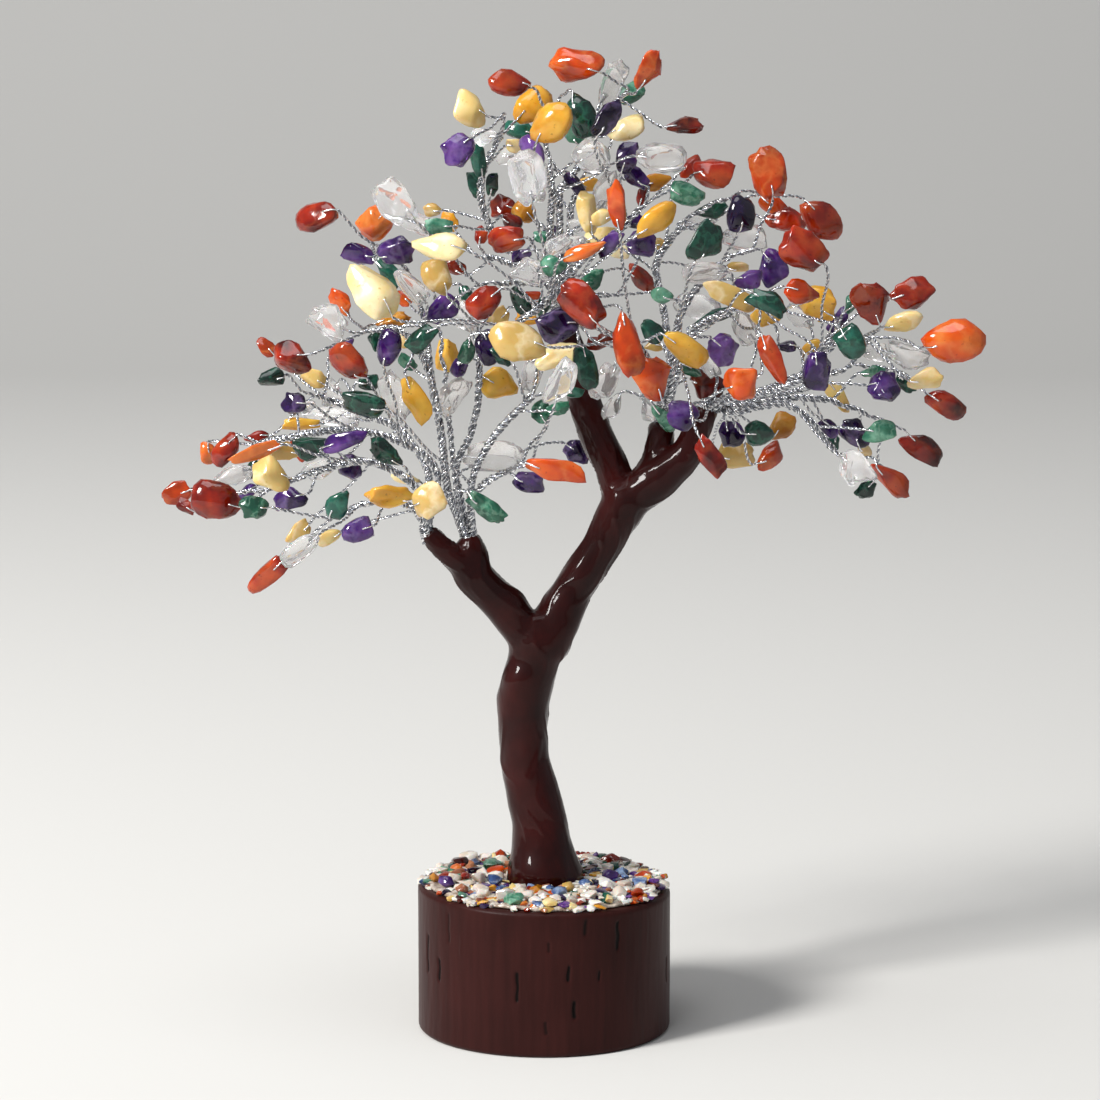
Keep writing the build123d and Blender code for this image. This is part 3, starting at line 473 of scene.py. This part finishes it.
pebbles = [modelPebble(f"pebble{i}", pebbleLook, i) for i in range(pebbleLook["kinds"])]
crumbs = [modelPebble(f"crumb{i}", crumbLook, i) for i in range(crumbLook["kinds"])]
print("pebbles modelled:", [len(pebble.data.polygons) for pebble in pebbles])


# stones and wires

stoneFit = {"length": 1.0, "width": 1.04, "thickness": 1.05, "holeRadius": 0.84 * mm, "seed": 11}
wireLook = {
    "strand": 0.23 * mm,        # radius of one wire
    "pairPitch": 2.1 * mm,      # one turn of the two wires of a twig
    "ropePitch": 8 * mm,        # one turn of a twig round its branch
    "step": 0.34 * mm,
    "ropeFull": 4,              # pairs side by side round the thickest rope
    "sink": 2.5 * mm,           # how far the wires start inside the bark
    "nextTwig": 0.618,          # of a turn, from one twig of a rope to the next
    "blur": 8,                  # steps each way over which a rope's radius is evened
    "bend": 0.55,
    "stray": 0.035,             # how far the middle of a twig strays, of its length
    "eyeGap": 0.5 * mm,         # from where the pair opens to the stone's edge
    "eyePlaces": (0.97, 0.75, 0.5, 0.2),    # of the way from the hole to the edge
    "eyeRise": 0.8,             # of a wire's radius, from the stone's face to the middle of the wire
    "windingTurns": 4,
    "windingPitch": 0.6 * mm,
    "windingSink": 0.4,         # share of the binding that lies before the branches begin
    "windingSteps": 120,
}


def axesOfTwig(twig):
    # the drilled stone's length and thickness directions, and the middle of its hole
    along = unit(twig[-2] - twig[-3])
    face = unit(twig[-2] - twig[-1])
    along = unit(along - face * (along @ face))
    return np.array([along, np.cross(face, along), face]), (twig[-2] + twig[-1]) / 2


def matchStone(points, twigs, taken):
    best = None
    for i, twig in enumerate(twigs):
        if i in taken:
            continue
        axes, hole = axesOfTwig(twig)
        fromHole = (points - hole) @ axes.T
        wall = np.sort(np.abs(np.hypot(fromHole[:, 0], fromHole[:, 1]) - stoneFit["holeRadius"]))
        if best is None or wall[:6].sum() < best[0]:
            best = (wall[:6].sum(), i)
    return best[1]


def smoothLine(points, slopes, step):
    # a curve through the points with the given slopes, at about even steps
    pieces = []
    for start, end, leave, arrive in zip(points, points[1:], slopes, slopes[1:]):
        count = max(int(np.linalg.norm(end - start) / step), 2)
        t = np.arange(count)[:, None] / count
        pieces.append((2 * t ** 3 - 3 * t ** 2 + 1) * start + (t ** 3 - 2 * t ** 2 + t) * leave
                      + (3 * t ** 2 - 2 * t ** 3) * end + (t ** 3 - t ** 2) * arrive)
    return np.concatenate([*pieces, points[-1:]])


def evenSlopes(points):
    gaps = np.diff(points, axis=0)
    lengths = np.linalg.norm(gaps, axis=1)
    slopes = [gaps[0]]
    for i in range(1, len(points) - 1):
        heading = unit(gaps[i - 1] / lengths[i - 1] + gaps[i] / lengths[i])
        slopes.append(heading * min(lengths[i - 1], lengths[i]))
    return np.array([*slopes, gaps[-1]])


def runOf(line):
    return np.concatenate([[0], np.cumsum(np.linalg.norm(np.diff(line, axis=0), axis=1))])


def windRound(line, radius, pitch, phase):
    # one strand wound round a line
    heads = np.gradient(line, axis=0)
    heads /= np.linalg.norm(heads, axis=1)[:, None]
    side = np.cross(heads[0], (0.3, 1.0, 0.2))
    sides = []
    for head in heads:
        side = unit(side - head * (side @ head))
        sides.append(side)
    sides = np.array(sides)
    angle = phase + 2 * math.pi * runOf(line) / pitch
    spread = np.broadcast_to(radius, len(line))[:, None]
    return line + spread * (np.cos(angle)[:, None] * sides + np.sin(angle)[:, None] * np.cross(heads, sides))


def eyeLoop(tree, axes, hole, edge):
    # the wire from the stone's edge over its face, through the hole and back behind it
    strand = wireLook["strand"]
    far = 20 * mm

    def skin(along, side):
        start = Vector(hole + along * axes[0] + side * far * axes[2])
        hit = tree.ray_cast(start, Vector(-side * axes[2]))[0]
        if hit is None:
            return side * strand
        return (np.array(hit) - hole) @ axes[2] + side * strand * wireLook["eyeRise"]

    places = [edge * share for share in wireLook["eyePlaces"]]
    front = [(along, skin(along, 1)) for along in places] + [(0, skin(0, 1))]
    back = [(0, skin(0, -1))] + [(along, skin(along, -1)) for along in reversed(places)]
    return [hole + along * axes[0] + out * axes[2] for along, out in front + back]


def drawTwig(line, heading, loop, rng):
    # a twisted pair along its rope and on to the stone, where it opens into the eye
    arrive = (loop[0] + loop[-1]) / 2
    reach = unit(loop[1] - loop[0] + loop[-2] - loop[-1])
    leave, end = line[-1], arrive - reach * wireLook["eyeGap"]
    length = np.linalg.norm(end - leave)
    stray = np.array([rng.uniform(-1, 1) for _ in range(3)])
    knee = (leave + end) / 2 + length * wireLook["stray"] * stray
    middle = unit(end - leave)
    points = np.array([leave, knee, end])
    slopes = np.array([heading * 0.4 + middle * 0.6, middle, reach * 0.5 + middle * 0.5])
    slopes *= length * wireLook["bend"]
    line = np.concatenate([line[:-1], smoothLine(points, slopes, wireLook["step"])])
    phase = rng.uniform(0, 2 * math.pi)
    pair = [windRound(line, wireLook["strand"], wireLook["pairPitch"], phase + turn) for turn in (0, math.pi)]
    return np.concatenate([pair[0], loop, pair[1][::-1]])


def drawSpray(branch, twigs, axis, rng):
    # the twigs of one branch, wound together up to where each of them leaves
    points = np.array([branch[0] - axis * wireLook["sink"], *branch])
    line = smoothLine(points, evenSlopes(points), wireLook["step"])
    run = runOf(line)
    ends = [leave + wireLook["sink"] for leave, heading, loop in twigs]
    count = np.array([sum(end >= here for end in ends) for here in run])
    full = np.clip(count, 1, wireLook["ropeFull"])
    radius = np.where(full > 1, 2 * wireLook["strand"] / np.sin(math.pi / np.maximum(full, 2)), 0)
    blur = wireLook["blur"]
    window = 2 * blur + 1
    radius = np.convolve(np.pad(radius, blur, mode="edge"), np.full(window, 1 / window), mode="valid")
    wires = []
    for i, (end, (leave, heading, loop)) in enumerate(zip(ends, twigs)):
        keep = max(np.count_nonzero(run <= end), 3)
        phase = 2 * math.pi * (i * wireLook["nextTwig"] + rng.uniform(0, 0.1))
        rope = windRound(line, radius, wireLook["ropePitch"], phase)[:keep]
        wires.append(drawTwig(rope, heading, loop, rng))
    return wires


def drawWinding(branches, axis):
    # the turns that bind the bundle where it leaves the bark
    middle = np.mean([branch[0] for branch in branches], axis=0)
    radius = max(np.linalg.norm(branch[0] - middle) for branch in branches) + 4 * wireLook["strand"]
    height = wireLook["windingTurns"] * wireLook["windingPitch"]
    steps = wireLook["windingSteps"]
    line = np.array([middle + axis * height * (i / steps - wireLook["windingSink"])
                     for i in range(steps + 1)])
    return windRound(line, radius, wireLook["windingPitch"], 0)


def drawWires(name, lines, tone):
    curve = bpy.data.curves.new(name, "CURVE")
    curve.dimensions = "3D"
    curve.bevel_depth = wireLook["strand"]
    curve.bevel_resolution = 0
    curve.use_fill_caps = True
    for line in lines:
        spline = curve.splines.new("POLY")
        spline.points.add(len(line) - 1)
        spline.points.foreach_set("co", np.c_[line, np.ones(len(line))].astype(np.float32).ravel())
    obj = addObject(name, curve)
    select(obj)
    bpy.ops.object.convert(target="MESH")
    obj = bpy.context.object
    # on a wire the tone is painted shade and highlight: 1 on the lit strand, 0 on the shaded one
    writeAttribute(obj.data, "tone", np.full(len(obj.data.vertices), tone))
    return obj


def makeWires(name, lines):
    # a wire goes out to its stone as the strand with the painted highlight and comes back as the strand with
    # the painted shade
    lit_strand = drawWires(name, [line[:len(line) // 2 + 1] for line in lines], 1)
    shaded_strand = drawWires(name + "_back", [line[len(line) // 2:] for line in lines], 0)
    return joinPieces([lit_strand, shaded_strand], name)


def dressBough(bough, rng, silver):
    branches, twigs = readBough(bough)
    axis = unit(sum(unit(branch[1] - branch[0]) for branch in branches))
    taken = set()
    sprays = [[] for _ in branches]
    for kind in stoneLooks:
        node = f"{bough}_{kind}"
        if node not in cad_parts:
            continue
        copies = []
        for points, _ in looseParts(node):
            i = matchStone(points, twigs, taken)
            taken.add(i)
            axes, hole = axesOfTwig(twigs[i])
            local = (points - hole) @ axes.T
            low, high = local.min(axis=0), local.max(axis=0)
            size = (high - low) * (stoneFit["length"], stoneFit["width"], stoneFit["thickness"])
            side = rng.choice((-1, 1))
            copy = copyPebble(rng.choice(pebbles), node, axes * np.array([[1], [side], [side]]),
                              hole + (low + high) / 2 @ axes, size, rng.random())
            tree = BVHTree.FromPolygons([vert.co[:] for vert in copy.data.vertices],
                                        [polygon.vertices[:] for polygon in copy.data.polygons])
            loop = eyeLoop(tree, axes, hole, low[0])
            found = [nearestOnLine(twigs[i][0], branch) for branch in branches]
            nearest = min(range(len(found)), key=lambda number: found[number][0])
            sprays[nearest].append((found[nearest][1], found[nearest][2], loop))
            copies.append(copy)
        finishPiece(joinPieces(copies, "stones_" + node), kind, stoneMaterials[kind], node)
    faces = 0
    for i, (branch, spray) in enumerate(zip(branches, sprays)):
        if spray:
            wires = makeWires(f"spray_{bough}_{i}", drawSpray(branch, spray, axis, rng))
            finishPiece(wires, "silver_wire", silver, bough + "_wires")
            faces = max(faces, len(wires.data.polygons))
    binding = makeWires("binding_" + bough, [drawWinding(branches, axis)])
    finishPiece(binding, "silver_wire", silver, bough + "_wires")
    print("dressed", bough, "with", len(taken), "stones, at most", faces, "faces in a spray")


silver = wireMaterial()
rng = random.Random(stoneFit["seed"])
for bough in boughs:
    dressBough(bough, rng, silver)


# bark

barkLook = {
    "voxel": 0.5 * mm,
    "smooth": 40,
    "swell": 0.6 * mm,          # what the smoothing took off
    "lump": 0.35 * mm,
    "lumpSize": 12 * mm,
    "ridge": 0.28 * mm,
    "ridges": 7,                # round a limb
    "wander": 1.6,              # radians, how far a ridge strays
    "twist": 150,               # radians in a metre of height
    "upwards": 1.6,             # how fast the ridges come out towards the top
    "fade": 40,                 # the relief fades out in the lowest 1/40 of the height
    "flare": 0.9 * mm,
    "flareHeight": 6 * mm,
}
# lumps of lacquer that catch the light
barkKnots = [
    dict(place=(-7.2 * mm, -5.0 * mm, 91.0 * mm), size=4.2 * mm, rise=1.1 * mm),
    dict(place=(-7.7 * mm, -2.0 * mm, 111.5 * mm), size=3.4 * mm, rise=0.9 * mm),
    dict(place=(-1.6 * mm, -7.0 * mm, 42.0 * mm), size=5.0 * mm, rise=1.6 * mm),
    dict(place=(5.0 * mm, 6.0 * mm, 80.0 * mm), size=4.5 * mm, rise=1.0 * mm),
    dict(place=(-3.0 * mm, 7.0 * mm, 60.0 * mm), size=5.0 * mm, rise=0.8 * mm),
]


def makeBark():
    bark = nodeCopy("bark_coat", "bark")
    core = nodeCopy("bark_core", "wire_core")
    bark = joinPieces([bark, core], "bark_coat")
    select(bark)
    bpy.ops.object.mode_set(mode="EDIT")
    bpy.ops.mesh.select_all(action="SELECT")
    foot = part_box("bark")[0].z
    bpy.ops.mesh.bisect(plane_co=(0, 0, foot), plane_no=(0, 0, 1), clear_inner=True, use_fill=True)
    bpy.ops.object.mode_set(mode="OBJECT")
    applyModifier(bark, "REMESH", mode="VOXEL", voxel_size=barkLook["voxel"])
    applyModifier(bark, "SMOOTH", factor=0.5, iterations=barkLook["smooth"])
    points, normals = readPoints(bark.data), readNormals(bark.data)
    foot = points[:, 2].min()
    height = (points[:, 2] - foot) / (points[:, 2].max() - foot)
    # ridges of the wires under the lacquer follow the limbs and grow upwards
    around = np.arctan2(normals[:, 0], -normals[:, 1])
    moves = []
    for point, angle, share in zip(points, around, height):
        spot = Vector(point) / barkLook["lumpSize"]
        lump = noise.noise(spot) + 0.5 * noise.noise(spot * 2.3 + Vector((7, 3, 1)))
        wander = barkLook["wander"] * noise.noise(spot * 0.8 + Vector((3, 9, 4)))
        wave = math.sin(barkLook["ridges"] * (angle + wander) + barkLook["twist"] * point[2])
        patch = min(max(noise.noise(spot * 1.3 + Vector((1, 5, 8))) * 2 + share * barkLook["upwards"], 0), 1)
        ridge = max(wave, 0) ** 3 * patch
        moves.append(barkLook["swell"] + barkLook["lump"] * lump + barkLook["ridge"] * ridge)
    moves = np.array(moves)
    for knot in barkKnots:
        moves += knot["rise"] * np.exp(-(np.linalg.norm(points - knot["place"], axis=1) / knot["size"]) ** 2)
    fade = np.clip(height * barkLook["fade"], 0, 1)
    flare = barkLook["flare"] * np.exp(-(points[:, 2] - foot) / barkLook["flareHeight"])
    writePoints(bark.data, points + normals * (moves * fade)[:, None] + normals * (1, 1, 0) * flare[:, None])
    return bark


finishPiece(makeBark(), "bark_lacquer", barkMaterial(), "bark", "wire_core")
print("bark made")


# base

baseLook = {"voxel": 0.44 * mm, "fibre": 0.05 * mm, "crackShadeDepth": 0.6 * mm, "smooth": 2,
            "fibreScale": (700, 700, 100), "wander": 0.5 * mm, "wanderSize": 3 * mm, "edge": 1.2 * mm}


def makeBase():
    base = nodeCopy("wood_base", "base_block")
    low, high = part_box("base_block")
    radius = (high.x - low.x) / 2
    applyModifier(base, "REMESH", mode="VOXEL", voxel_size=baseLook["voxel"])
    applyModifier(base, "SMOOTH", factor=0.5, iterations=baseLook["smooth"])
    points, normals = readPoints(base.data), readNormals(base.data)
    beside = np.hypot(points[:, 0], points[:, 1])
    edge = baseLook["edge"]
    onSide = (points[:, 2] > low.z + edge) & (points[:, 2] < high.z - 2 * edge) & (beside > radius - 2 * edge)
    # how deep each point lies inside a crack, which sets its painted shade
    writeAttribute(base.data, "crack_shade", np.clip((radius - beside) / baseLook["crackShadeDepth"], 0, 1) * onSide)
    fibres = [noise.noise(Vector(point)) for point in points * baseLook["fibreScale"]]
    # the cracks wander a little to the sides
    aside = np.array([noise.noise(Vector(point) / baseLook["wanderSize"]) for point in points]) * onSide
    sideways = np.c_[-points[:, 1], points[:, 0], np.zeros(len(points))] / np.maximum(beside, mm)[:, None]
    points += sideways * (aside * baseLook["wander"])[:, None]
    writePoints(base.data, points + normals * (np.array(fibres) * onSide * baseLook["fibre"])[:, None])
    return base


finishPiece(makeBase(), "painted_wood", baseMaterial(), "base_block")
print("base made")


# gravel in its glue

gravelLook = {
    "swell": 1.15,              # how much larger than its solid a grain is
    "crumbs": 760,
    "sizes": (1.5 * mm, 4.0 * mm),
    "flat": 0.5,
    "lean": 0.4,                # radians
    "rise": 1.3 * mm,
    "slant": 3 * mm,            # the heap falls over this width along the rim
    "rim": 0.2 * mm,
    "inset": 0.3,               # of a crumb's size, that it keeps from the rim
    "foot": 8.6 * mm,           # the trunk stands inside this radius
    "sharp": 32,                # degrees
    "seed": 23,
}
glueLook = {"voxel": 0.7 * mm, "ripple": 0.9 * mm, "rippleSize": 2.2 * mm, "deepest": -0.2}
# how often a kind turns up, its slot and its polished stones
gravelKinds = {
    "quartz": dict(share=17, slot="quartz", stones=["milky_quartz"]),
    "carnelian": dict(share=6, slot="gravel_carnelian", stones=["orange_carnelian", "red_carnelian"]),
    "amethyst": dict(share=4, slot="amethyst", stones=["amethyst"]),
    "aventurine": dict(share=3, slot="gravel_aventurine", stones=["light_aventurine", "dark_aventurine"]),
    "citrine": dict(share=4, slot="gravel_citrine", stones=["pale_citrine", "honey_citrine"]),
    "lapis": dict(share=1, slot="gravel_lapis", stones=["lapis"]),
    "jasper": dict(share=2, slot="gravel_jasper", stones=["jasper"]),
}


def randomAxes(rng):
    lean = Matrix.Rotation(rng.uniform(-gravelLook["lean"], gravelLook["lean"]), 3, "X")
    return np.array(lean @ Matrix.Rotation(rng.uniform(0, 2 * math.pi), 3, "Z"))


def makeGravel(rng):
    low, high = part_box("base_block")
    outer = (high.x - low.x) / 2
    bedLow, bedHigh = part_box("glue_bed")
    middle = (bedLow.z + bedHigh.z) / 2
    slope = 2 * (high.z - middle) / (bedHigh.x - bedLow.x)      # the sawn top falls to the right
    copies = {kind: [] for kind in gravelKinds}
    for kind in gravelKinds:
        for points, _ in looseParts("gravel_" + kind):
            corners = points.min(axis=0), points.max(axis=0)
            size = (corners[1] - corners[0]) * gravelLook["swell"]
            place = sum(corners) / 2
            copies[kind].append(copyPebble(rng.choice(crumbs), "grain", randomAxes(rng), place, size,
                                           rng.random()))
    mix = [kind for kind, look in gravelKinds.items() for _ in range(look["share"])]
    for _ in range(gravelLook["crumbs"]):
        size = np.array([rng.uniform(*gravelLook["sizes"]) for _ in range(3)]) * (1, 1, gravelLook["flat"])
        reach = outer - gravelLook["rim"] - gravelLook["inset"] * max(size)
        beside = math.sqrt(rng.uniform(gravelLook["foot"] ** 2, reach ** 2))
        angle = rng.uniform(0, 2 * math.pi)
        x, y = beside * math.cos(angle), beside * math.sin(angle)
        heap = gravelLook["rise"] * rng.random() * min((outer - beside) / gravelLook["slant"], 1)
        place = np.array([x, y, middle - slope * x + heap])
        copies[rng.choice(mix)].append(copyPebble(rng.choice(crumbs), "crumb", randomAxes(rng), place, size,
                                                  rng.random()))
    for kind, look in gravelKinds.items():
        for i, stone in enumerate(look["stones"]):
            piece = joinPieces(copies[kind][i::len(look["stones"])], "gravel_bits_" + stone)
            finishPiece(piece, look["slot"], stoneMaterials[stone], "gravel_" + kind)
            bpy.ops.object.shade_smooth_by_angle(angle=math.radians(gravelLook["sharp"]))


def makeGlue():
    glue = nodeCopy("glue_skin", "glue_bed")
    applyModifier(glue, "REMESH", mode="VOXEL", voxel_size=glueLook["voxel"])
    points, normals = readPoints(glue.data), readNormals(glue.data)
    ripples = [max(noise.noise(Vector(point) / glueLook["rippleSize"]), glueLook["deepest"])
               for point in points]
    points[:, 2] += np.array(ripples) * glueLook["ripple"] * np.maximum(normals[:, 2], 0)
    writePoints(glue.data, points)
    return glue


makeGravel(random.Random(gravelLook["seed"]))
finishPiece(makeGlue(), "clear_glue", glueMaterial(), "glue_bed")
for model in pebbles + crumbs:
    bpy.data.objects.remove(model)
print("gravel laid")


# room, light and camera

roomLook = {"width": 8.0, "back": 1.6, "height": 4.0, "curve": 0.5, "curveSteps": 16, "near": 0.01,
            "colour": "#d3d2cf", "rough": 0.85, "air": (0.93, 0.95, 1, 1), "fill": 0.24,
            "seen": {"Is Camera Ray": 0.75, "Is Transmission Ray": 0.8, "Is Glossy Ray": 0.42}}
lampTarget = Vector((0, 0, 0.12))
lampLook = {
    "window": dict(place=(-1.25, -1.0, 1.15), size=(0.45, 0.55), power=41, tint=(1, 0.985, 0.96)),
    "sky": dict(place=(-0.3, -0.3, 1.9), size=(1.2, 1.2), power=16, tint=(0.97, 0.985, 1)),
}
cameraLook = {"eye": (1.5 * mm, -1.0, 0.272), "pitch": 8.45, "focal": 4000, "picture": 1100,
              "sensor": 36, "far": 50}


def makeRoom():
    deselectAll()
    back, near = roomLook["back"], roomLook["near"]
    bpy.ops.mesh.primitive_plane_add(size=roomLook["width"], location=(0, back - roomLook["width"] / 2, 0))
    room = bpy.context.object
    room.name = "studio_floor"
    bpy.ops.object.transform_apply(location=True, rotation=True, scale=True)
    bpy.ops.object.mode_set(mode="EDIT")
    shape = bmesh.from_edit_mesh(room.data)
    for edge in shape.edges:
        edge.select_set(all(abs(vert.co.y - back) < near for vert in edge.verts))
    shape.select_flush_mode()
    bmesh.update_edit_mesh(room.data)
    bpy.ops.mesh.extrude_region_move(TRANSFORM_OT_translate={"value": (0, 0, roomLook["height"])})
    shape = bmesh.from_edit_mesh(room.data)
    for edge in shape.edges:
        edge.select_set(all(abs(vert.co.y - back) < near and vert.co.z < near for vert in edge.verts))
    bmesh.update_edit_mesh(room.data)
    bpy.ops.mesh.bevel(offset=roomLook["curve"], segments=roomLook["curveSteps"])
    bpy.ops.object.mode_set(mode="OBJECT")
    bpy.ops.object.shade_smooth()
    material, tree, shader = startMaterial("pale_floor")
    setSockets(shader, Base_Color=srgb(roomLook["colour"]), Roughness=roomLook["rough"])
    room.data.materials.append(material)


def makeLamps():
    for name, look in lampLook.items():
        lamp = bpy.data.lights.new(name, "AREA")
        lamp.shape = "RECTANGLE"
        lamp.size, lamp.size_y = look["size"]
        lamp.energy = look["power"]
        lamp.color = look["tint"]
        obj = addObject(name, lamp)
        obj.location = look["place"]
        obj.rotation_euler = (lampTarget - obj.location).to_track_quat("-Z", "Y").to_euler()
    world = bpy.data.worlds.new("studio")
    bpy.context.scene.world = world
    world.use_nodes = True
    tree = world.node_tree
    background = tree.nodes["Background"]
    setSockets(background, Color=roomLook["air"])
    # the room looks pale to the eye, in metal and through clear stones, and lights the object less
    path = tree.nodes.new("ShaderNodeLightPath")
    level = None
    for name, seen in roomLook["seen"].items():
        part, most = tree.nodes.new("ShaderNodeMath"), tree.nodes.new("ShaderNodeMath")
        part.operation, most.operation = "MULTIPLY", "MAXIMUM"
        tree.links.new(path.outputs[name], part.inputs[0])
        part.inputs[1].default_value = seen
        tree.links.new(part.outputs["Value"], most.inputs[0])
        if level:
            tree.links.new(level, most.inputs[1])
        else:
            most.inputs[1].default_value = roomLook["fill"]
        level = most.outputs["Value"]
    tree.links.new(level, background.inputs["Strength"])


def makeCamera():
    camera = bpy.data.cameras.new("photo_view")
    camera.sensor_width = cameraLook["sensor"]
    camera.lens = cameraLook["focal"] / cameraLook["picture"] * camera.sensor_width
    camera.clip_end = cameraLook["far"]
    obj = addObject("photo_view", camera)
    obj.location = cameraLook["eye"]
    obj.rotation_euler = (math.radians(90 - cameraLook["pitch"]), 0, 0)
    bpy.context.scene.camera = obj


makeRoom()
makeLamps()
makeCamera()
bpy.context.scene.view_settings.view_transform = "Standard"
print("room, lamps and camera set")
